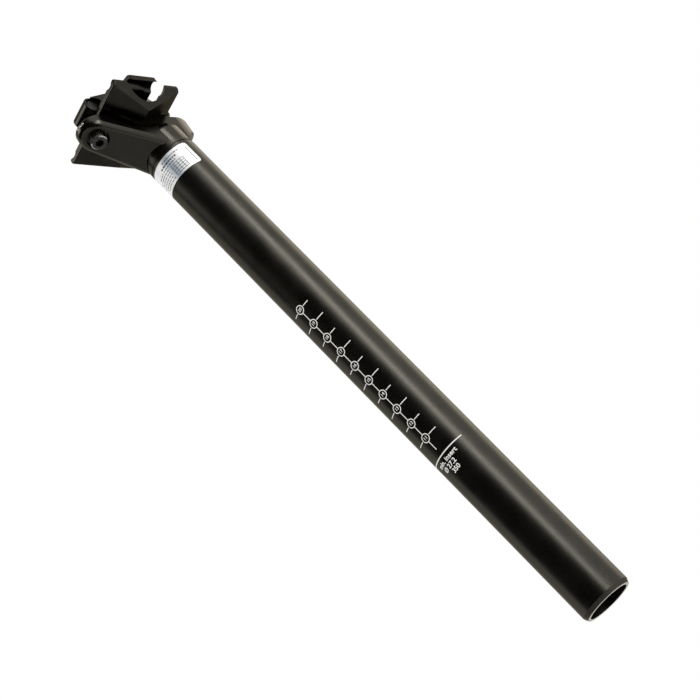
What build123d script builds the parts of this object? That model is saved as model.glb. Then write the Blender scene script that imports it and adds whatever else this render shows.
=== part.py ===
from build123d import *

import math
import os

# A 27.2 mm bicycle seatpost with a two-bolt saddle clamp, in millimetres.
# The origin is the centre of the tube's open bottom end. +Z runs up the tube, +X points forward on the
# bicycle and +Y to its left. The clamp has a frame of its own, tilted so that the saddle rails lie level
# when the tube leans back: x forward along the rails, y left, z square to the rails.

# Tube
tube_diameter = 27.2
tube_wall = 2.5
end_chamfer_radial = 1.05
end_chamfer_axial = 2.2
bore_depth = 298.0
shoulder_fillet = 7.0
seam_drop = 30.5
seam_width = 0.7
seam_depth = 0.3

# Clamp frame: its origin, and how far it leans from square to the tube
clamp_height = 344.0
setback = 9.5
clamp_tilt = 14.0

# Saddle rails
rail_diameter = 7.0
rail_spacing = 44.0
rail_height = 2.2
lower_lip_drop = 1.9
upper_lip_rise = 0.8

# Curved seat between head and cradle
seat_radius = 20.5
seat_axis_height = 4.5
seat_gap = 0.3
head_top = -7.0

# Head
bolt_offset = 23.0
rear_boss_radius = 9.3
front_lug_radius = 12.6
front_lug_depth = 6.0
lug_foot_rise = 6.5
head_width = 20.8
facet_depth = 15.5
facet_angle = 21.5
head_fillet = 0.8
facet_fillet = 3.0

# Bolts and their fittings
bolt_diameter = 5.0
bolt_head_diameter = 8.6
bolt_head_height = 5.0
bolt_head_edge = 0.5
bolt_socket_size = 4.0
bolt_socket_depth = 2.6
bolt_hole_clearance = 0.45
rear_bolt_lean = 12.0
rear_head_gap = 0.3
bolt_tip_chamfer = 0.6
rear_bolt_length = 22.0
front_bolt_length = 30.0
front_tip_room = 1.0
counterbore_diameter = 11.6
counterbore_floor = -12.0
washer_diameter = 10.8
washer_thickness = 1.4

# Cross barrels in the top clamp's eyes
barrel_diameter = 7.6
barrel_length = 12.8
barrel_gap = 0.25
barrel_edge = 0.6
front_barrel_flat = 1.6
flat_gap = 0.1

# Lower cradle
cradle_length = 40.6
lower_width = 52.8
cradle_body_width = 25.4
lip_thickness = 2.4
arm_end_depth = 3.5
keel_depth = 12.8
keel_half_width = 18.6
channel_radius = 13.0
channel_depth = 9.0
bolt_notch_radius = 4.2
eye_room = 0.6
cradle_fillet = 1.0

# Top clamp
upper_width = 51.6
wing_length = 16.0
wing_height = 4.8
wing_corner = 1.6
spine_width = 24.0
spine_low = 2.0
spine_top = 10.6
eye_radius = 5.2
eye_width = 13.6
head_side_gap = 1.4
slot_clearance = 0.8
clamp_fillet = 0.6

# How far the clamp tips each way to set the saddle's angle
tilt_range = 8.0

tilt = math.radians(clamp_tilt)
tube_radius = tube_diameter / 2
seam_height = clamp_height - seam_drop
rail_radius = rail_diameter / 2
bolt_radius = bolt_diameter / 2
bore_radius = tube_radius - tube_wall
hole_radius = bolt_radius + bolt_hole_clearance
swing = math.tan(math.radians(tilt_range))
eye_rise = seat_axis_height - counterbore_floor
rear_eye = -bolt_offset + eye_rise * math.tan(math.radians(rear_bolt_lean))
front_head_seat = seat_axis_height + front_barrel_flat + flat_gap
cutter_length = 2 * (lower_width + cradle_length)
rear_bolt_seat = Pos(-bolt_offset, 0, counterbore_floor) * Rot(0, rear_bolt_lean, 0)
clamp_frame = Plane(
    origin=(-setback, 0, clamp_height),
    x_dir=(math.cos(tilt), 0, -math.sin(tilt)),
    z_dir=(math.sin(tilt), 0, math.cos(tilt)),
)


def to_clamp(x, z):
    """Clamp coordinates of a point in the post's middle plane."""
    local = clamp_frame.to_local_coords(Vector(x, 0, z))
    return local.X, local.Z


def side_extrude(points, width):
    """A prism across the part, from an outline in the middle plane."""
    return extrude(Plane.XZ * make_face(Polyline(*points, close=True)), amount=width / 2, both=True)


def front_extrude(points, length):
    """A prism along the rails, from an outline seen from the front."""
    return extrude(Plane.YZ * make_face(Polyline(*points, close=True)), amount=length / 2, both=True)


def upright(radius, bottom, top, x=0.0, y=0.0):
    """A cylinder square to the rails."""
    return Pos(x, y, bottom) * Cylinder(radius, top - bottom, align=(Align.CENTER, Align.CENTER, Align.MIN))


def cross(radius, width, x, z):
    """A cylinder across the part."""
    return Pos(x, 0, z) * Rot(90, 0, 0) * Cylinder(radius, width)


def rail_cylinder(radius, length, y):
    """A cylinder along a rail."""
    return Pos(0, y, rail_height) * Rot(0, 90, 0) * Cylinder(radius, length)


def crossing(point_a, slope_a, point_b, slope_b):
    """Where two lines of the middle plane meet, each given by a point and a direction."""
    det = slope_a[1] * slope_b[0] - slope_a[0] * slope_b[1]
    dx = point_b[0] - point_a[0]
    dz = point_b[1] - point_a[1]
    step = (dz * slope_b[0] - dx * slope_b[1]) / det
    return point_a[0] + slope_a[0] * step, point_a[1] + slope_a[1] * step


def make_post():
    """Tube and head in one piece."""
    facet = math.radians(facet_angle)
    facet_slope = (math.cos(facet), -math.sin(facet))
    mouth = (-bolt_offset, -facet_depth)
    tube_slope = (math.sin(tilt), -math.cos(tilt))
    rear_x = -bolt_offset - rear_boss_radius
    front_x = bolt_offset + front_lug_radius
    back_line = to_clamp(-tube_radius, clamp_height)
    axis_line = to_clamp(0, clamp_height)
    rear_low = crossing(mouth, facet_slope, (rear_x, 0), (0, 1))
    facet_end = crossing(mouth, facet_slope, back_line, tube_slope)
    inside = crossing(axis_line, tube_slope, facet_end, facet_slope)

    # Below its square part the front lug slants in and meets the tube above the seam
    lug_foot = to_clamp(tube_radius, seam_height + lug_foot_rise)
    lug_slope = (lug_foot[0] - front_x, lug_foot[1] - head_top + front_lug_depth)
    lug_brow = crossing(lug_foot, lug_slope, (front_x + tube_wall, 0), (0, 1))
    lug_root = crossing(lug_foot, lug_slope, (lug_foot[0] - tube_wall, 0), (0, 1))
    outline = [(rear_x, head_top), (front_x + tube_wall, head_top), lug_brow, lug_root, inside, rear_low]

    # Seen square to the rails, the head runs from the rear boss, over the tube, to the front lug
    plan = Pos(-bolt_offset, 0) * Circle(rear_boss_radius)
    plan += Pos(facet_end[0], 0) * Circle(head_width / 2)
    plan += Pos(bolt_offset, 0) * Circle(front_lug_radius)
    plan = make_hull(plan.edges())
    depth = head_top - lug_foot[1] + tube_diameter
    column = extrude(Pos(0, 0, head_top) * plan, amount=-depth)
    head = side_extrude(outline, cutter_length) & column
    seat = cross(seat_radius, cutter_length, 0, seat_axis_height)
    head -= seat
    head = fillet(head.edges().filter_by(lambda edge: edge.center().Z > facet_end[1] / 2), head_fillet)

    # The edge round the slanted face is well rounded: the head is cut to a longer block with that edge
    block_top = head_top + tube_diameter
    block_rear = rear_x - tube_diameter
    block_front = front_x + tube_diameter
    rear_corner = crossing(mouth, facet_slope, (block_rear, 0), (0, 1))
    front_corner = crossing(mouth, facet_slope, (block_front, 0), (0, 1))
    block = extrude(Pos(0, 0, block_top) * plan, amount=front_corner[1] - block_top)
    block_outline = [(block_rear, block_top), (block_front, block_top), front_corner, rear_corner]
    block &= side_extrude(block_outline, cutter_length)
    block = fillet(block.faces().sort_by(Axis.Z)[0].edges(), facet_fillet)
    head &= block

    head -= rear_bolt_seat * upright(hole_radius, -washer_thickness, eye_rise)
    head -= rear_bolt_seat * upright(counterbore_diameter / 2, -tube_diameter, 0)
    lowest_tip = front_head_seat - front_bolt_length - bolt_offset * swing
    tapped = upright(hole_radius, lowest_tip - front_tip_room, front_head_seat, bolt_offset)

    # The tube runs up under the seat and ends in a rounded shoulder
    neck_top = clamp_height + (head_top - (tube_radius + setback) * math.sin(tilt)) / math.cos(tilt)
    tube = Cylinder(tube_radius, neck_top, align=(Align.CENTER, Align.CENTER, Align.MIN))
    tube = fillet(tube.edges().filter_by(GeomType.CIRCLE).sort_by(Axis.Z)[-1], shoulder_fillet)
    post = tube + clamp_frame.location * head
    post -= clamp_frame.location * seat
    post -= clamp_frame.location * tapped
    seam = Circle(tube_diameter) - Circle(tube_radius - seam_depth)
    post -= Pos(0, 0, seam_height) * extrude(seam, amount=seam_width / 2, both=True)
    post -= Cylinder(bore_radius, bore_depth, align=(Align.CENTER, Align.CENTER, Align.MIN))
    rim = post.edges().filter_by(GeomType.CIRCLE).group_by(Axis.Z)[0].sort_by(SortBy.RADIUS)[-1]
    bottom = post.faces().sort_by(Axis.Z)[0]
    return chamfer(rim, end_chamfer_radial, end_chamfer_axial, reference=bottom)


def make_lower_cradle():
    """Half-moon cradle with a groove for the rails on each of four arms."""
    half_width = lower_width / 2
    half_length = cradle_length / 2
    top = rail_height - lower_lip_drop
    lip_low = top - lip_thickness
    flank_slope = (half_width - keel_half_width) / (keel_depth + lip_low)
    flank_end = keel_half_width - flank_slope * lip_thickness
    across = front_extrude(
        [
            (-half_width, top),
            (half_width, top),
            (half_width, lip_low),
            (flank_end, -keel_depth - lip_thickness),
            (-flank_end, -keel_depth - lip_thickness),
            (-half_width, lip_low),
        ],
        cradle_length,
    )
    along = side_extrude(
        [
            (-half_length, top),
            (half_length, top),
            (half_length, -arm_end_depth),
            (0, -keel_depth),
            (-half_length, -arm_end_depth),
        ],
        lower_width,
    )
    keel = cross(seat_radius - seat_gap, cradle_body_width, 0, seat_axis_height)
    room = Pos(0, 0, head_top + seat_gap) * Box(
        cradle_length, lower_width, seat_radius, align=(Align.CENTER, Align.CENTER, Align.MAX))
    arms = across & along
    arms = fillet(arms.edges(), cradle_fillet)
    keel &= room
    cradle = arms + keel
    cradle -= cross(channel_radius, cutter_length, 0, channel_radius - channel_depth)
    for side in (-1, 1):
        cradle -= rail_cylinder(rail_radius, cutter_length, side * rail_spacing / 2)
    for eye in (rear_eye, bolt_offset):
        cradle -= cross(eye_radius + eye_room, eye_width + 2 * eye_room, eye, seat_axis_height)
    cradle -= rear_bolt_seat * upright(bolt_notch_radius, -cutter_length, cutter_length)
    cradle -= upright(bolt_notch_radius, -cutter_length, cutter_length, bolt_offset)
    return cradle


def make_top_clamp():
    """Upper clamp: a spine between two eyes, and a wing over each rail midway between them."""
    eye_height = seat_axis_height
    half_span = (bolt_offset - rear_eye) / 2
    plan = Rectangle(wing_length, spine_width)
    for side in (-1, 1):
        plan += Pos(side * half_span, 0) * Rectangle(eye_radius, eye_width)
    spine = extrude(Pos(0, 0, spine_low) * make_hull(plan.edges()), amount=spine_top - spine_low)
    half_spine = wing_length / 2
    reach = half_span + eye_radius
    spine &= side_extrude(
        [
            (-reach, spine_low),
            (reach, spine_low),
            (reach, eye_height),
            (half_span, eye_height + eye_radius),
            (half_spine, spine_top),
            (-half_spine, spine_top),
            (-half_span, eye_height + eye_radius),
            (-reach, eye_height),
        ],
        cutter_length,
    )
    spine &= Box(2 * half_span, cutter_length, cutter_length)
    half_width = upper_width / 2
    low = rail_height + upper_lip_rise
    wings = front_extrude(
        [
            (-half_width, low),
            (half_width, low),
            (half_width, low + wing_height - wing_corner),
            (half_width - wing_corner, low + wing_height),
            (spine_width / 2, spine_top),
            (-spine_width / 2, spine_top),
            (-half_width + wing_corner, low + wing_height),
            (-half_width, low + wing_height - wing_corner),
        ],
        wing_length,
    )
    clamp = fillet(spine.edges(), clamp_fillet) + fillet(wings.edges(), clamp_fillet)
    for side in (-1, 1):
        eye = cross(eye_radius, eye_width, side * half_span, eye_height)
        clamp += fillet(eye.edges().filter_by(GeomType.CIRCLE), clamp_fillet)
    slot = upright(bolt_radius + slot_clearance + eye_radius * swing, -cutter_length, cutter_length)
    for side in (-1, 1):
        clamp -= cross(barrel_diameter / 2 + barrel_gap, cutter_length, side * half_span, eye_height)
        clamp -= rail_cylinder(rail_radius, cutter_length, side * rail_spacing / 2)
    clamp -= Pos(-half_span, 0, eye_height) * Rot(0, rear_bolt_lean, 0) * slot
    clamp -= Pos(half_span, 0, eye_height) * slot
    head_room = bolt_head_diameter + 2 * head_side_gap
    clamp -= Pos(half_span, 0, eye_height + front_barrel_flat / 2) * Box(
        2 * head_room, head_room, 2 * eye_radius, align=(Align.CENTER, Align.CENTER, Align.MIN))
    return Pos(bolt_offset - half_span, 0, 0) * clamp


def make_bolt(length):
    """Socket-head bolt along +z, with its head's seat at z = 0."""
    shank = upright(bolt_radius, 0, length)
    shank = chamfer(shank.edges().filter_by(GeomType.CIRCLE).sort_by(Axis.Z)[-1], bolt_tip_chamfer)
    head = upright(bolt_head_diameter / 2, -bolt_head_height, 0)
    head = chamfer(head.edges().filter_by(GeomType.CIRCLE).sort_by(Axis.Z)[0], bolt_head_edge)
    socket = RegularPolygon(bolt_socket_size / 2, 6, major_radius=False)
    head -= Pos(0, 0, -bolt_head_height) * extrude(socket, amount=bolt_socket_depth)
    return shank + head


def make_barrel(flat=None):
    """Cross barrel at the origin with a hole for a bolt, and a flat on top where a bolt head sits."""
    barrel = cross(barrel_diameter / 2, barrel_length, 0, 0)
    barrel = chamfer(barrel.edges().filter_by(GeomType.CIRCLE), barrel_edge)
    barrel -= upright(hole_radius, -barrel_diameter, barrel_diameter)
    if flat is not None:
        barrel -= Pos(0, 0, flat) * Box(barrel_length, 2 * barrel_length, barrel_length,
                                        align=(Align.CENTER, Align.CENTER, Align.MIN))
    return barrel


def make_washer():
    """Plain washer with its lower face at z = 0."""
    ring = Circle(washer_diameter / 2) - Circle(hole_radius)
    return extrude(ring, amount=washer_thickness)


os.makedirs("parts", exist_ok=True)
pieces = {
    "lower_cradle": make_lower_cradle(),
    "top_clamp": make_top_clamp(),
    "rear_bolt": rear_bolt_seat * Pos(0, 0, -washer_thickness - rear_head_gap) * make_bolt(rear_bolt_length),
    "rear_washer": rear_bolt_seat * Pos(0, 0, -washer_thickness) * make_washer(),
    "rear_barrel_nut": Pos(rear_eye, 0, seat_axis_height) * Rot(0, rear_bolt_lean, 0) * make_barrel(),
    "front_bolt": Pos(bolt_offset, 0, front_head_seat) * Rot(180, 0, 0) * make_bolt(front_bolt_length),
    "front_barrel_washer": Pos(bolt_offset, 0, seat_axis_height) * make_barrel(front_barrel_flat),
}
export_step(make_post(), "parts/post.step")
for name, solid in pieces.items():
    export_step(clamp_frame.location * solid, f"parts/{name}.step")
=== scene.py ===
import math
import random

import bmesh
import bpy
from mathutils import Matrix, Vector


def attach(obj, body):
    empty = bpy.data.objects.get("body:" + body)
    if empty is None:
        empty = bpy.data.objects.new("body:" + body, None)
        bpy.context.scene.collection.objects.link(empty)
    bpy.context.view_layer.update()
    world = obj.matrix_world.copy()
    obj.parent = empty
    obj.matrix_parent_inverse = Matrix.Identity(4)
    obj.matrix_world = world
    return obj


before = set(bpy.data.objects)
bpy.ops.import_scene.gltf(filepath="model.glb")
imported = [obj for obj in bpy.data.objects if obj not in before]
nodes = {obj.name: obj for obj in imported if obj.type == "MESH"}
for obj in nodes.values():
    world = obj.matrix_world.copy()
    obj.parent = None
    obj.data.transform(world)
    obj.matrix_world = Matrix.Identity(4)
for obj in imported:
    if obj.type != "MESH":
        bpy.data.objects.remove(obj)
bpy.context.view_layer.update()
mm = 0.001
print("seatpost: frame loaded with", len(nodes), "nodes")

# the round walls that the prints and the label wrap onto
tube = {"radius": 13.6 * mm, "frame": Matrix.Identity(4)}
clamp = {"setback": 9.5 * mm, "height": 344.0 * mm, "tilt": math.radians(14), "boltOffset": 23.0 * mm}
boss = {
    "radius": 9.3 * mm,
    "frame": Matrix.Translation((-clamp["setback"], 0, clamp["height"]))
    @ Matrix.Rotation(clamp["tilt"], 4, "Y") @ Matrix.Translation((-clamp["boltOffset"], 0, 0)),
}
backAngle = math.pi  # the height scale runs up the exact back of the tube


# small helpers for objects and shader nodes
def linkObject(name, data):
    made = bpy.data.objects.new(name, data)
    bpy.context.scene.collection.objects.link(made)
    return made


def meshObject(name, bm, material):
    mesh = bpy.data.meshes.new(name)
    bm.to_mesh(mesh)
    bm.free()
    mesh.materials.append(material)
    return linkObject(name, mesh)


def newMaterial(name):
    material = bpy.data.materials.new(name)
    material.use_nodes = True
    tree = material.node_tree
    return material, tree, tree.nodes["Principled BSDF"]


def setInputs(node, values):
    for name, value in values.items():
        node.inputs[name].default_value = value


def opNode(tree, operation, kind="ShaderNodeMath"):
    node = tree.nodes.new(kind)
    node.operation = operation
    return node


def mixNode(tree, kind):
    node = tree.nodes.new("ShaderNodeMix")
    node.data_type = kind
    return node


def rangeNode(tree, low, high, start=0.0, end=1.0, smooth=False):
    node = tree.nodes.new("ShaderNodeMapRange")
    if smooth:
        node.interpolation_type = "SMOOTHSTEP"
    setInputs(node, {"From Min": low, "From Max": high, "To Min": start, "To Max": end})
    return node


# camera: stands behind, below and to the right of the post, as the photograph does
cameraSet = {
    "place": (-0.7266, -0.4597, -0.1420),
    "right": (0.5873, -0.4714, -0.6579),
    "ahead": (0.7913, 0.5053, 0.3443),
    "lens": 97.71, "sensor": 36.0, "nearest": 0.01, "furthest": 50.0,
}


def makeCamera(values):
    data = bpy.data.cameras.new("camera")
    data.lens = values["lens"]
    data.sensor_width = values["sensor"]
    data.clip_start = values["nearest"]
    data.clip_end = values["furthest"]
    camera = linkObject("camera", data)
    right = Vector(values["right"]).normalized()
    back = -Vector(values["ahead"]).normalized()
    up = back.cross(right).normalized()
    right = up.cross(back)
    turn = Matrix((right, up, back)).transposed().to_4x4()
    camera.matrix_world = Matrix.Translation(values["place"]) @ turn
    bpy.context.scene.camera = camera


makeCamera(cameraSet)
print("seatpost: camera set")


# studio: white surroundings, a slanting strip light, two softboxes, and cards that only reflections see
studio = {
    "floorHeight": -0.25, "floorSize": (12.0, 12.0), "floorColour": (0.86, 0.86, 0.86), "floorRough": 0.6,
    "fadeStart": 0.7, "fadeEnd": 2.4, "fadeGlow": 0.36,  # far from the post the floor fades into the white
    "ambient": 0.75, "ambientColour": (1.0, 0.98, 0.95), "cardRough": 0.9,
    "lights": {
        "stripLight": {"place": (-0.14, -0.67, 0.378), "aim": (0, 0, 0.16), "along": (0.57, -0.12, 0.815),
                       "size": (0.13, 0.74), "power": 2.0},
        "rearLight": {"place": (-0.41, 0.36, 0.80), "aim": (-0.03, 0, 0.34), "along": (0, 0, 1),
                      "size": (0.30, 0.30), "power": 1.0},
        "sideLight": {"place": (0.84, -0.22, 0.47), "aim": (0, 0, 0.19), "along": (0, 0, 1),
                      "size": (0.50, 0.70), "power": 3.2},
    },
    "cards": {
        "darkCard": {"place": (-0.85, 0.03, 0.62), "aim": (0, 0, 0.37), "along": (0, 0, 1),
                     "size": (3.0, 2.34), "shade": 0.004},
        "lowCard": {"place": (-0.37, -0.19, -0.05), "aim": (0, 0, 0.19), "along": (0, 0, 1),
                    "size": (0.5, 0.5), "shade": 0.004},
        "underCard": {"place": (-0.10, 0.38, -0.20), "aim": (-0.10, 0.38, 0.30), "along": (0, 1, 0),
                      "size": (0.8, 0.7), "shade": 0.42},
    },
}


def facing(place, aim, along):
    away = (Vector(place) - Vector(aim)).normalized()
    along = (Vector(along) - away * away.dot(Vector(along))).normalized()
    turn = Matrix((along.cross(away), along, away)).transposed().to_4x4()
    return Matrix.Translation(place) @ turn


def makeSoftbox(name, values):
    data = bpy.data.lights.new(name, "AREA")
    data.shape = "RECTANGLE"
    data.size, data.size_y = values["size"]
    data.energy = values["power"]
    box = linkObject(name, data)
    box.matrix_world = facing(values["place"], values["aim"], values["along"])


def makeSheet(name, size, material):
    bm = bmesh.new()
    bmesh.ops.create_grid(bm, x_segments=1, y_segments=1, size=0.5)
    bmesh.ops.scale(bm, vec=(*size, 1), verts=bm.verts)
    sheet = meshObject(name, bm, material)
    return sheet


def plainMaterial(name, colour, roughness):
    material, tree, shader = newMaterial(name)
    setInputs(shader, {"Base Color": (*colour, 1), "Roughness": roughness})
    return material, tree, shader


def makeFloorMaterial(values):
    material, tree, shader = plainMaterial("paleFloor", values["floorColour"], values["floorRough"])
    setInputs(shader, {"Specular IOR Level": 0.0, "Emission Color": (1, 1, 1, 1)})
    place = tree.nodes.new("ShaderNodeTexCoord")
    reach = opNode(tree, "LENGTH", "ShaderNodeVectorMath")
    fade = rangeNode(tree, values["fadeStart"], values["fadeEnd"], end=values["fadeGlow"], smooth=True)
    tree.links.new(place.outputs["Object"], reach.inputs[0])
    tree.links.new(reach.outputs["Value"], fade.inputs["Value"])
    tree.links.new(fade.outputs["Result"], shader.inputs["Emission Strength"])
    return material


def makeCard(name, values, roughness):
    material = plainMaterial(name, (values["shade"],) * 3, roughness)[0]
    card = makeSheet(name, values["size"], material)
    card.matrix_world = facing(values["place"], values["aim"], values["along"])
    card.visible_camera = False  # only reflections see the card
    card.visible_shadow = False
    card.visible_diffuse = False


# the surroundings light the post dimly, and look plain white to the camera and in reflections
def makeWorld(values):
    world = bpy.data.worlds.new("studioWorld")
    bpy.context.scene.world = world
    world.use_nodes = True
    tree = world.node_tree
    tree.nodes.clear()
    out = tree.nodes.new("ShaderNodeOutputWorld")
    light = tree.nodes.new("ShaderNodeBackground")
    setInputs(light, {"Color": (*values["ambientColour"], 1), "Strength": values["ambient"]})
    white = tree.nodes.new("ShaderNodeBackground")
    setInputs(white, {"Color": (1, 1, 1, 1), "Strength": 1.0})
    path = tree.nodes.new("ShaderNodeLightPath")
    seen = opNode(tree, "MAXIMUM")
    through = opNode(tree, "MAXIMUM")
    mix = tree.nodes.new("ShaderNodeMixShader")
    tree.links.new(path.outputs["Is Camera Ray"], seen.inputs[0])
    tree.links.new(path.outputs["Is Glossy Ray"], seen.inputs[1])
    tree.links.new(seen.outputs[0], through.inputs[0])
    tree.links.new(path.outputs["Is Transmission Ray"], through.inputs[1])
    tree.links.new(through.outputs[0], mix.inputs["Fac"])
    tree.links.new(light.outputs[0], mix.inputs[1])
    tree.links.new(white.outputs[0], mix.inputs[2])
    tree.links.new(mix.outputs[0], out.inputs["Surface"])


def makeStudio(values):
    floor = makeSheet("floor", values["floorSize"], makeFloorMaterial(values))
    floor.location.z = values["floorHeight"]
    for name, card in values["cards"].items():
        makeCard(name, card, values["cardRough"])
    for name, light in values["lights"].items():
        makeSoftbox(name, light)
    makeWorld(values)
    bpy.context.scene.view_settings.view_transform = "Standard"


makeStudio(studio)
print("seatpost: studio set")


# shared finish: a fine blasted grain with faint cloudiness, read from Object coordinates
blastedGrain = {"grainDetail": 2.0, "cloudDetail": 3.0, "cloudShare": 0.45, "low": 0.3, "high": 0.7}


def makeBlastGroup(values):
    group = bpy.data.node_groups.new("blastedGrain", "ShaderNodeTree")
    face = group.interface
    for name in ("Dark", "Pale"):
        face.new_socket(name, in_out="INPUT", socket_type="NodeSocketColor")
    for name in ("Grain Scale", "Cloud Scale", "Smooth", "Rough"):
        face.new_socket(name, in_out="INPUT", socket_type="NodeSocketFloat")
    face.new_socket("Color", in_out="OUTPUT", socket_type="NodeSocketColor")
    for name in ("Roughness", "Height"):
        face.new_socket(name, in_out="OUTPUT", socket_type="NodeSocketFloat")
    add = group.nodes.new
    link = group.links.new
    given = add("NodeGroupInput")
    result = add("NodeGroupOutput")
    place = add("ShaderNodeTexCoord")
    grain = add("ShaderNodeTexNoise")
    cloud = add("ShaderNodeTexNoise")
    setInputs(grain, {"Detail": values["grainDetail"]})
    setInputs(cloud, {"Detail": values["cloudDetail"]})
    link(place.outputs["Object"], grain.inputs["Vector"])
    link(place.outputs["Object"], cloud.inputs["Vector"])
    link(given.outputs["Grain Scale"], grain.inputs["Scale"])
    link(given.outputs["Cloud Scale"], cloud.inputs["Scale"])
    both = mixNode(group, "FLOAT")
    setInputs(both, {"Factor": values["cloudShare"]})
    link(grain.outputs["Fac"], both.inputs["A"])
    link(cloud.outputs["Fac"], both.inputs["B"])
    spread = rangeNode(group, values["low"], values["high"])
    link(both.outputs["Result"], spread.inputs["Value"])
    tint = mixNode(group, "RGBA")
    link(spread.outputs["Result"], tint.inputs["Factor"])
    link(given.outputs["Dark"], tint.inputs["A"])
    link(given.outputs["Pale"], tint.inputs["B"])
    rough = rangeNode(group, values["low"], values["high"])
    link(cloud.outputs["Fac"], rough.inputs["Value"])
    link(given.outputs["Smooth"], rough.inputs["To Min"])
    link(given.outputs["Rough"], rough.inputs["To Max"])
    link(tint.outputs["Result"], result.inputs["Color"])
    link(rough.outputs["Result"], result.inputs["Roughness"])
    link(grain.outputs["Fac"], result.inputs["Height"])
    return group


blastGroup = makeBlastGroup(blastedGrain)


def blastedMaterial(name, values):
    material, tree, shader = newMaterial(name)
    setInputs(shader, {"Metallic": 1.0, "Specular Tint": (*values["edge"], 1)})
    finish = tree.nodes.new("ShaderNodeGroup")
    finish.node_tree = blastGroup
    setInputs(finish, {
        "Dark": (*values["dark"], 1), "Pale": (*values["pale"], 1),
        "Grain Scale": values["grainScale"], "Cloud Scale": values["cloudScale"],
        "Smooth": values["smooth"], "Rough": values["rough"],
    })
    bump = tree.nodes.new("ShaderNodeBump")
    setInputs(bump, {"Strength": values["bump"], "Distance": values["bumpDepth"]})
    tree.links.new(finish.outputs["Height"], bump.inputs["Height"])
    tree.links.new(bump.outputs["Normal"], shader.inputs["Normal"])
    tree.links.new(finish.outputs["Color"], shader.inputs["Base Color"])
    tree.links.new(finish.outputs["Roughness"], shader.inputs["Roughness"])
    return material, finish, shader


postFinish = {
    "dark": (0.046, 0.043, 0.037), "pale": (0.068, 0.064, 0.055), "edge": (0.58, 0.56, 0.52),
    "grainScale": 2400.0, "cloudScale": 70.0, "smooth": 0.30, "rough": 0.37,
    "bump": 0.35, "bumpDepth": 0.00006,
    "bareEnd": 0.00006,  # the cut end of the tube is bare metal up to this height
    "bareColour": (0.86, 0.83, 0.78), "bareRough": 0.32,
    "seam": 0.3135, "seamFade": 0.004, "headRough": 0.62,  # above the seam the roughness falls to this share
}
# the clamp pieces: their own glossier black finish, with a base colour darker than the post's as painted
# shade for the head's shade on the cradle
clampFinishAndShade = {
    "dark": (0.031, 0.029, 0.025), "pale": (0.050, 0.047, 0.041), "edge": (0.45, 0.44, 0.42),
    "grainScale": 2000.0, "cloudScale": 110.0, "smooth": 0.17, "rough": 0.26,
    "bump": 0.25, "bumpDepth": 0.00005,
}
fittingFinish = {
    "dark": (0.024, 0.024, 0.023), "pale": (0.052, 0.051, 0.048), "edge": (0.6, 0.6, 0.6),
    "grainScale": 1500.0, "cloudScale": 300.0, "smooth": 0.26, "rough": 0.42,
    "bump": 0.15, "bumpDepth": 0.00004,
}
boltFinish = {
    "dark": (0.050, 0.050, 0.052), "pale": (0.105, 0.104, 0.102), "edge": (0.7, 0.7, 0.7),
    "grainScale": 1800.0, "cloudScale": 420.0, "smooth": 0.18, "rough": 0.32,
    "bump": 0.12, "bumpDepth": 0.00003,
}


def makePostMaterial(values):
    material, finish, shader = blastedMaterial("postBlack", values)
    tree = material.node_tree
    place = tree.nodes.new("ShaderNodeTexCoord")
    split = tree.nodes.new("ShaderNodeSeparateXYZ")
    below = opNode(tree, "LESS_THAN")
    below.inputs[1].default_value = values["bareEnd"]
    tree.links.new(place.outputs["Object"], split.inputs[0])
    tree.links.new(split.outputs["Z"], below.inputs[0])
    colour = mixNode(tree, "RGBA")
    setInputs(colour, {"B": (*values["bareColour"], 1)})
    rough = mixNode(tree, "FLOAT")
    setInputs(rough, {"B": values["bareRough"]})
    tree.links.new(below.outputs[0], colour.inputs["Factor"])
    tree.links.new(below.outputs[0], rough.inputs["Factor"])
    tree.links.new(finish.outputs["Color"], colour.inputs["A"])
    fadeEnd = values["seam"] + values["seamFade"]
    above = rangeNode(tree, values["seam"], fadeEnd, start=1.0, end=values["headRough"], smooth=True)
    polish = opNode(tree, "MULTIPLY")
    tree.links.new(split.outputs["Z"], above.inputs["Value"])
    tree.links.new(finish.outputs["Roughness"], polish.inputs[0])
    tree.links.new(above.outputs["Result"], polish.inputs[1])
    tree.links.new(polish.outputs[0], rough.inputs["A"])
    tree.links.new(colour.outputs["Result"], shader.inputs["Base Color"])
    tree.links.new(rough.outputs["Result"], shader.inputs["Roughness"])
    return material


# painted highlight: a pale ring round the rim of each bolt's head, broken into patches, stands in for the
# rim's glint
paintedRimGlint = {
    "inner": 3.5 * mm, "outer": 4.1 * mm, "colour": (0.52, 0.50, 0.47),
    "patchScale": 900.0, "patchLow": 0.35, "patchHigh": 0.6, "leastGlint": 0.35,
}


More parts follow.
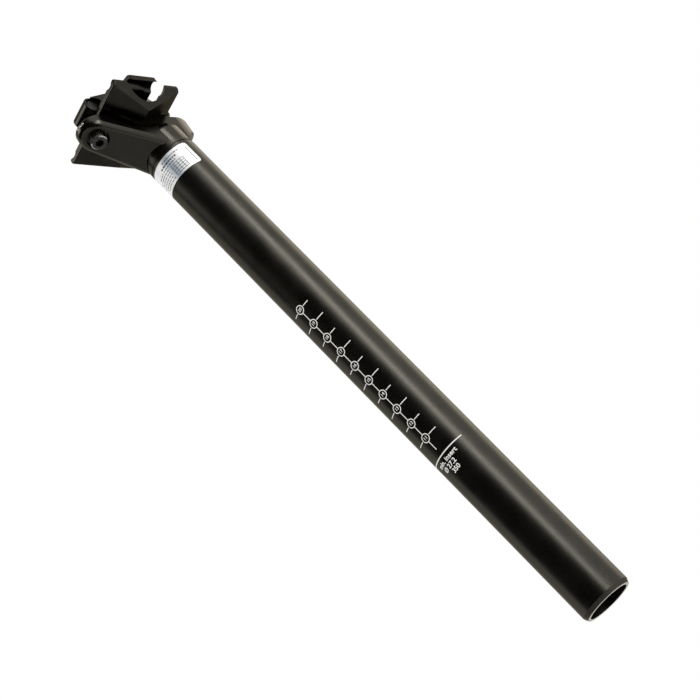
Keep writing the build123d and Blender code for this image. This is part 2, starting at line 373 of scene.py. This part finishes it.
def makeRimGlintGroup(values):
    group = bpy.data.node_groups.new("paintedRimGlint", "ShaderNodeTree")
    face = group.interface
    for name in ("Seat", "Axis"):
        face.new_socket(name, in_out="INPUT", socket_type="NodeSocketVector")
    for name in ("Rim In", "Rim Out"):
        face.new_socket(name, in_out="INPUT", socket_type="NodeSocketFloat")
    face.new_socket("Rim", in_out="OUTPUT", socket_type="NodeSocketFloat")
    add = group.nodes.new
    link = group.links.new
    given = add("NodeGroupInput")
    result = add("NodeGroupOutput")
    place = add("ShaderNodeTexCoord")
    fromSeat = opNode(group, "SUBTRACT", "ShaderNodeVectorMath")
    link(place.outputs["Object"], fromSeat.inputs[0])
    link(given.outputs["Seat"], fromSeat.inputs[1])
    aside = opNode(group, "CROSS_PRODUCT", "ShaderNodeVectorMath")
    link(fromSeat.outputs["Vector"], aside.inputs[0])
    link(given.outputs["Axis"], aside.inputs[1])
    radius = opNode(group, "LENGTH", "ShaderNodeVectorMath")
    link(aside.outputs["Vector"], radius.inputs[0])
    rim = rangeNode(group, 0.0, 1.0, smooth=True)
    link(radius.outputs["Value"], rim.inputs["Value"])
    link(given.outputs["Rim In"], rim.inputs["From Min"])
    link(given.outputs["Rim Out"], rim.inputs["From Max"])
    patch = add("ShaderNodeTexNoise")
    setInputs(patch, {"Scale": values["patchScale"]})
    link(place.outputs["Object"], patch.inputs["Vector"])
    broken = rangeNode(group, values["patchLow"], values["patchHigh"], start=values["leastGlint"])
    link(patch.outputs["Fac"], broken.inputs["Value"])
    wearAndGlint = opNode(group, "MULTIPLY")
    link(rim.outputs["Result"], wearAndGlint.inputs[0])
    link(broken.outputs["Result"], wearAndGlint.inputs[1])
    link(wearAndGlint.outputs[0], result.inputs["Rim"])
    return group


rimGlintGroup = makeRimGlintGroup(paintedRimGlint)

rearBolt = {
    "seat": (-35.465 * mm, 0, 336.393 * mm), "axis": (0.43837, 0, 0.89879),
    "threadStart": 8.1 * mm, "threadEnd": 12.2 * mm,
}
frontBolt = {
    "seat": (14.317 * mm, 0, 344.452 * mm), "axis": (-0.24192, 0, -0.97030),
    "threadStart": 8.4 * mm, "threadEnd": 29.2 * mm,
}


def makeBoltMaterial(name, values):
    material, finish, shader = blastedMaterial(name, boltFinish)
    tree = material.node_tree
    rim = tree.nodes.new("ShaderNodeGroup")
    rim.node_tree = rimGlintGroup
    setInputs(rim, {
        "Seat": values["seat"], "Axis": values["axis"],
        "Rim In": paintedRimGlint["inner"], "Rim Out": paintedRimGlint["outer"],
    })
    # painted highlight: the pale rim ring is mixed into the bolt's black
    rimGlintMix = mixNode(tree, "RGBA")
    setInputs(rimGlintMix, {"B": (*paintedRimGlint["colour"], 1)})
    tree.links.new(rim.outputs["Rim"], rimGlintMix.inputs["Factor"])
    tree.links.new(finish.outputs["Color"], rimGlintMix.inputs["A"])
    tree.links.new(rimGlintMix.outputs["Result"], shader.inputs["Base Color"])
    return material


postBlack = makePostMaterial(postFinish)
# the clamp's darker base colour is partly painted shade
clampBlackAndShade = blastedMaterial("clampBlackAndShade", clampFinishAndShade)[0]
fittingBlack = blastedMaterial("fittingBlack", fittingFinish)[0]
rearBoltBlack = makeBoltMaterial("rearBoltBlack", rearBolt)
frontBoltBlack = makeBoltMaterial("frontBoltBlack", frontBolt)
dress = {
    "post": postBlack, "lower_cradle": clampBlackAndShade, "top_clamp": clampBlackAndShade,
    "rear_bolt": rearBoltBlack, "front_bolt": frontBoltBlack,
    "rear_washer": fittingBlack, "rear_barrel_nut": fittingBlack, "front_barrel_washer": fittingBlack,
}
for node, material in dress.items():
    nodes[node].data.materials.clear()
    nodes[node].data.materials.append(material)
print("seatpost: nodes dressed")


# thread: a spun row of ridges round the bare length of each bolt's shank
thread = {
    "core": 2.40 * mm, "root": 2.50 * mm, "crest": 2.68 * mm, "pitch": 0.8 * mm,
    "crestShares": (0.45, 0.55),  # a crest is flat between these shares of the pitch
    "turnSteps": 40, "mergeGap": 1e-7,
}


def makeThread(name, body, values, material):
    bm = bmesh.new()
    start, end = values["threadStart"], values["threadEnd"]
    ridges = int((end - start) / thread["pitch"])
    line = [(thread["core"], start), (thread["root"], start)]
    for ridge in range(ridges):
        foot = start + ridge * thread["pitch"]
        for share in thread["crestShares"]:
            line.append((thread["crest"], foot + thread["pitch"] * share))
        line.append((thread["root"], foot + thread["pitch"]))
    line.append((thread["core"], start + ridges * thread["pitch"]))
    profile = [bm.verts.new((radius, 0, height)) for radius, height in line]
    edges = [bm.edges.new(pair) for pair in zip(profile, profile[1:] + profile[:1])]
    bmesh.ops.spin(
        bm, geom=profile + edges, cent=(0, 0, 0), axis=(0, 0, 1), angle=math.tau,
        steps=thread["turnSteps"], use_merge=True,
    )
    bmesh.ops.remove_doubles(bm, verts=bm.verts, dist=thread["mergeGap"])
    bmesh.ops.recalc_face_normals(bm, faces=bm.faces)
    turn = Vector(values["axis"]).to_track_quat("Z", "Y").to_matrix().to_4x4()
    bm.transform(Matrix.Translation(values["seat"]) @ turn)
    piece = meshObject(name, bm, material)
    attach(piece, body)


makeThread("rear_bolt_thread", "rear_bolt", rearBolt, rearBoltBlack)
makeThread("front_bolt_thread", "front_bolt", frontBolt, frontBoltBlack)
print("seatpost: threads cut")


# prints lie flat first, x round the wall and y up it, and are then wrapped onto it
def wrapOnWall(bm, wall, angle, height, lift):
    radius = wall["radius"] + lift
    for vert in bm.verts:
        turn = angle + vert.co.x / wall["radius"]
        vert.co = Vector((radius * math.cos(turn), radius * math.sin(turn), height + vert.co.y))


def finishPrint(bm, wall, name, material, thickness):
    bmesh.ops.recalc_face_normals(bm, faces=bm.faces)
    for face in bm.faces:
        if face.normal.dot(Vector((*face.calc_center_median().xy, 0))) < 0:
            face.normal_flip()
    bmesh.ops.solidify(bm, geom=bm.faces[:], thickness=-thickness)
    bmesh.ops.recalc_face_normals(bm, faces=bm.faces)
    bm.transform(wall["frame"])
    piece = meshObject(name, bm, material)
    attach(piece, "post")


def addBar(bm, x, y, width, height, across=1):
    made = bmesh.ops.create_grid(bm, x_segments=across, y_segments=1, size=0.5)
    bmesh.ops.scale(bm, vec=(width, height, 1), verts=made["verts"])
    bmesh.ops.translate(bm, vec=(x, y, 0), verts=made["verts"])


def addRing(bm, x, y, radius, stroke, segments=28):
    made = bmesh.ops.create_circle(bm, cap_ends=False, segments=segments, radius=radius - stroke / 2)
    inner = [edge for edge in bm.edges if edge.verts[0] in made["verts"] and edge.verts[1] in made["verts"]]
    grown = bmesh.ops.extrude_edge_only(bm, edges=inner)
    outerVerts = [item for item in grown["geom"] if isinstance(item, bmesh.types.BMVert)]
    factor = (radius + stroke / 2) / (radius - stroke / 2)
    bmesh.ops.scale(bm, vec=(factor, factor, 1), verts=outerVerts)
    bmesh.ops.translate(bm, vec=(x, y, 0), verts=made["verts"] + outerVerts)


def addWords(bm, words, x, y, size, weight, curveSteps=3):
    curve = bpy.data.curves.new("words", "FONT")
    curve.body = words
    curve.size = size
    curve.offset = weight
    curve.align_x = "CENTER"
    curve.align_y = "CENTER"
    curve.resolution_u = curveSteps
    holder = linkObject("words", curve)
    bpy.context.view_layer.update()
    flat = bpy.data.meshes.new_from_object(holder.evaluated_get(bpy.context.evaluated_depsgraph_get()))
    bpy.data.objects.remove(holder)
    bpy.data.curves.remove(curve)
    flat.transform(Matrix.Translation((x, y, 0)))
    bm.from_mesh(flat)
    bpy.data.meshes.remove(flat)


inkLook = {"colour": (0.88, 0.88, 0.86), "roughness": 0.5, "wear": 0.08, "wearScale": 1800.0}


def makeInk(name, values):
    material, tree, shader = newMaterial(name)
    place = tree.nodes.new("ShaderNodeTexCoord")
    noise = tree.nodes.new("ShaderNodeTexNoise")
    setInputs(noise, {"Scale": values["wearScale"]})
    fade = mixNode(tree, "RGBA")
    wearAndGlint = [part * (1 - values["wear"]) for part in values["colour"]]
    setInputs(fade, {"A": (*wearAndGlint, 1), "B": (*values["colour"], 1)})
    tree.links.new(place.outputs["Object"], noise.inputs["Vector"])
    tree.links.new(noise.outputs["Fac"], fade.inputs["Factor"])
    tree.links.new(fade.outputs["Result"], shader.inputs["Base Color"])
    setInputs(shader, {"Roughness": values["roughness"]})
    return material


whiteInk = makeInk("whiteInk", inkLook)

heightScale = {
    "top": 201.7 * mm, "pitch": 10.0 * mm, "marks": 10, "topNumber": 20,
    "ring": 2.15 * mm, "stroke": 0.42 * mm,
    "tickGap": 0.45 * mm, "longTick": 4.7 * mm, "shortTick": 3.5 * mm,
    "tickWidth": 0.42 * mm, "tickSteps": 6,
    "numberSize": 2.4 * mm, "numberWeight": 0.03 * mm,
    "lift": 0.004 * mm, "thickness": 0.03 * mm,
}


def makeHeightScale(values):
    bm = bmesh.new()
    ringReach = values["ring"] + values["stroke"] / 2
    joinLength = values["pitch"] - 2 * ringReach
    tickStart = ringReach + values["tickGap"]
    for mark in range(values["marks"]):
        y = -mark * values["pitch"]
        addRing(bm, 0, y, values["ring"], values["stroke"])
        addBar(bm, 0, y - values["pitch"] / 2, values["stroke"], joinLength)
        tick = values["shortTick"] if mark % 2 == 0 else values["longTick"]
        middle = tickStart + tick / 2
        for side in (-1, 1):
            addBar(bm, side * middle, y, tick, values["tickWidth"], across=values["tickSteps"])
        addWords(bm, str(values["topNumber"] - mark), 0, y, values["numberSize"], values["numberWeight"])
    wrapOnWall(bm, tube, backAngle, values["top"], values["lift"])
    finishPrint(bm, tube, "height_scale_print", whiteInk, values["thickness"])


makeHeightScale(heightScale)
print("seatpost: height scale printed")


insertMark = {
    "height": 100.5 * mm, "lineLength": 27.0 * mm, "lineWidth": 0.55 * mm, "lineSteps": 36,
    "rows": (("min. insert", 0.0), ("Ø 27.2", -1.2 * mm), ("350", 0.6 * mm)),
    "firstRow": 2.9 * mm, "rowPitch": 3.3 * mm, "rowSize": 3.4 * mm, "rowWeight": 0.08 * mm,
    "lift": 0.004 * mm, "thickness": 0.03 * mm,
}


def makeInsertMark(values):
    bm = bmesh.new()
    addBar(bm, 0, 0, values["lineLength"], values["lineWidth"], across=values["lineSteps"])
    for row, (words, shift) in enumerate(values["rows"]):
        y = -values["firstRow"] - row * values["rowPitch"]
        addWords(bm, words, shift, y, values["rowSize"], values["rowWeight"])
    wrapOnWall(bm, tube, backAngle, values["height"], values["lift"])
    finishPrint(bm, tube, "insert_mark_print", whiteInk, values["thickness"])


makeInsertMark(insertMark)
print("seatpost: insert mark printed")


torqueMark = {
    "words": "5 N.m", "size": 2.0 * mm, "angle": math.radians(192), "height": -8.75 * mm, "weight": 0.0,
    "lift": 0.004 * mm, "thickness": 0.03 * mm,
}


def makeTorqueMark(values):
    bm = bmesh.new()
    addWords(bm, values["words"], 0, 0, values["size"], values["weight"])
    wrapOnWall(bm, boss, values["angle"], values["height"], values["lift"])
    finishPrint(bm, boss, "torque_mark_print", whiteInk, values["thickness"])


makeTorqueMark(torqueMark)
print("seatpost: torque mark printed")


# sticker: a foil label below the head, with a darker band near its middle
sticker = {
    "bottom": 297.3 * mm, "top": 311.5 * mm, "startAngle": math.radians(123), "endAngle": math.radians(261),
    "corner": 1.6 * mm, "cornerSteps": 5, "wrapSteps": 60, "lift": 0.01 * mm, "thickness": 0.06 * mm,
    "foil": (0.90, 0.91, 0.92), "shade": (0.34, 0.42, 0.50), "shadeAngle": math.radians(201),
    "shadeSpread": math.radians(20), "shadeShare": 0.85, "metallic": 0.35,
    "roughness": 0.42, "roughSpread": 0.06, "streakScale": 420.0, "coat": 0.15, "coatRough": 0.12,
}


def makeFoil(values):
    material, tree, shader = newMaterial("labelFoil")
    add = tree.nodes.new
    link = tree.links.new
    setInputs(shader, {
        "Metallic": values["metallic"], "Coat Weight": values["coat"], "Coat Roughness": values["coatRough"],
    })
    place = add("ShaderNodeTexCoord")
    split = add("ShaderNodeSeparateXYZ")
    turn = opNode(tree, "ARCTAN2")
    link(place.outputs["Object"], split.inputs[0])
    # the angle is counted from the back of the tube, so both parts change sign
    for axis, socket in (("Y", turn.inputs[0]), ("X", turn.inputs[1])):
        flip = opNode(tree, "MULTIPLY")
        flip.inputs[1].default_value = -1.0
        link(split.outputs[axis], flip.inputs[0])
        link(flip.outputs[0], socket)
    away = opNode(tree, "SUBTRACT")
    away.inputs[1].default_value = values["shadeAngle"] - backAngle
    link(turn.outputs[0], away.inputs[0])
    size = opNode(tree, "ABSOLUTE")
    link(away.outputs[0], size.inputs[0])
    band = rangeNode(tree, 0.0, values["shadeSpread"], start=values["shadeShare"], end=0.0, smooth=True)
    link(size.outputs[0], band.inputs["Value"])
    streak = add("ShaderNodeTexNoise")
    setInputs(streak, {"Scale": values["streakScale"]})
    link(place.outputs["Object"], streak.inputs["Vector"])
    tint = mixNode(tree, "RGBA")
    setInputs(tint, {"A": (*values["foil"], 1), "B": (*values["shade"], 1)})
    link(band.outputs["Result"], tint.inputs["Factor"])
    link(tint.outputs["Result"], shader.inputs["Base Color"])
    smoothest = values["roughness"] - values["roughSpread"]
    roughest = values["roughness"] + values["roughSpread"]
    rough = rangeNode(tree, 0.0, 1.0, start=smoothest, end=roughest)
    link(streak.outputs["Fac"], rough.inputs["Value"])
    link(rough.outputs["Result"], shader.inputs["Roughness"])
    return material


def makeStickerBase(values, material):
    middle = (values["startAngle"] + values["endAngle"]) / 2
    width = (values["endAngle"] - values["startAngle"]) * tube["radius"]
    height = values["top"] - values["bottom"]
    bm = bmesh.new()
    addBar(bm, 0, 0, width, height)
    bmesh.ops.bevel(
        bm, geom=bm.verts[:], offset=values["corner"], offset_type="OFFSET", affect="VERTICES",
        segments=values["cornerSteps"], profile=0.5, material=-1,
    )
    for step in range(1, values["wrapSteps"]):
        x = (step / values["wrapSteps"] - 0.5) * width
        bmesh.ops.bisect_plane(
            bm, geom=bm.verts[:] + bm.edges[:] + bm.faces[:], plane_co=(x, 0, 0), plane_no=(1, 0, 0),
        )
    wrapOnWall(bm, tube, middle, (values["top"] + values["bottom"]) / 2, values["lift"])
    finishPrint(bm, tube, "label_foil", material, values["thickness"])


# the label's ink: generic rows of dashes, an empty ruled box and a column of dashes at the right end
stickerInk = {
    "lift": 0.075 * mm, "thickness": 0.02 * mm, "seed": 7,
    "look": {"colour": (0.035, 0.040, 0.055), "roughness": 0.45, "wear": 0.30, "wearScale": 1400.0},
    # a row is its share of the label's height, its weight in mm, and its first and last angle
    "rows": (
        (0.86, 0.55, 188, 236), (0.74, 0.85, 176, 222), (0.62, 0.42, 150, 216), (0.52, 0.42, 140, 190),
        (0.42, 0.42, 146, 188), (0.32, 0.42, 138, 192), (0.22, 0.42, 144, 186), (0.12, 0.42, 150, 190),
    ),
    "dash": (0.6, 1.9), "dashGap": (0.35, 0.6), "dashOver": 0.3 * mm, "dashSteps": 3,
    "ruleShares": (0.10, 0.205, 0.31, 0.415, 0.52), "ruleAngles": (198, 206.5, 215, 223.5, 232),
    "ruleWidth": 0.24 * mm, "ruleSteps": 12,
    "columnLow": 0.16, "columnHigh": 0.84, "columnAngle": 252, "columnWidth": 0.6 * mm,
    "columnDash": (0.5, 1.1), "columnGap": 0.45 * mm,
}


def makeStickerInk(values, material):
    chance = random.Random(values["seed"])
    bm = bmesh.new()
    height = sticker["top"] - sticker["bottom"]

    def spot(angle):
        return (math.radians(angle) - backAngle) * tube["radius"]

    for share, weight, first, last in values["rows"]:
        x = spot(first)
        while x < spot(last):
            length = chance.uniform(*values["dash"]) * mm
            length = min(length, spot(last) - x + values["dashOver"])
            addBar(bm, x + length / 2, share * height, length, weight * mm, across=values["dashSteps"])
            x += length + chance.uniform(*values["dashGap"]) * mm
    low, high = values["ruleShares"][0], values["ruleShares"][-1]
    left, right = spot(values["ruleAngles"][0]), spot(values["ruleAngles"][-1])
    ruleWidth = values["ruleWidth"]
    for share in values["ruleShares"]:
        addBar(bm, (left + right) / 2, share * height, right - left, ruleWidth, across=values["ruleSteps"])
    for angle in values["ruleAngles"]:
        addBar(bm, spot(angle), (low + high) / 2 * height, ruleWidth, (high - low) * height)
    y = values["columnLow"] * height
    while y < values["columnHigh"] * height:
        length = chance.uniform(*values["columnDash"]) * mm
        addBar(bm, spot(values["columnAngle"]), y, values["columnWidth"], length)
        y += length + values["columnGap"]
    wrapOnWall(bm, tube, backAngle, sticker["bottom"], values["lift"])
    finishPrint(bm, tube, "label_ink", material, values["thickness"])


makeStickerBase(sticker, makeFoil(sticker))
makeStickerInk(stickerInk, makeInk("labelInk", stickerInk["look"]))
print("seatpost: label laid")


print("seatpost: done")
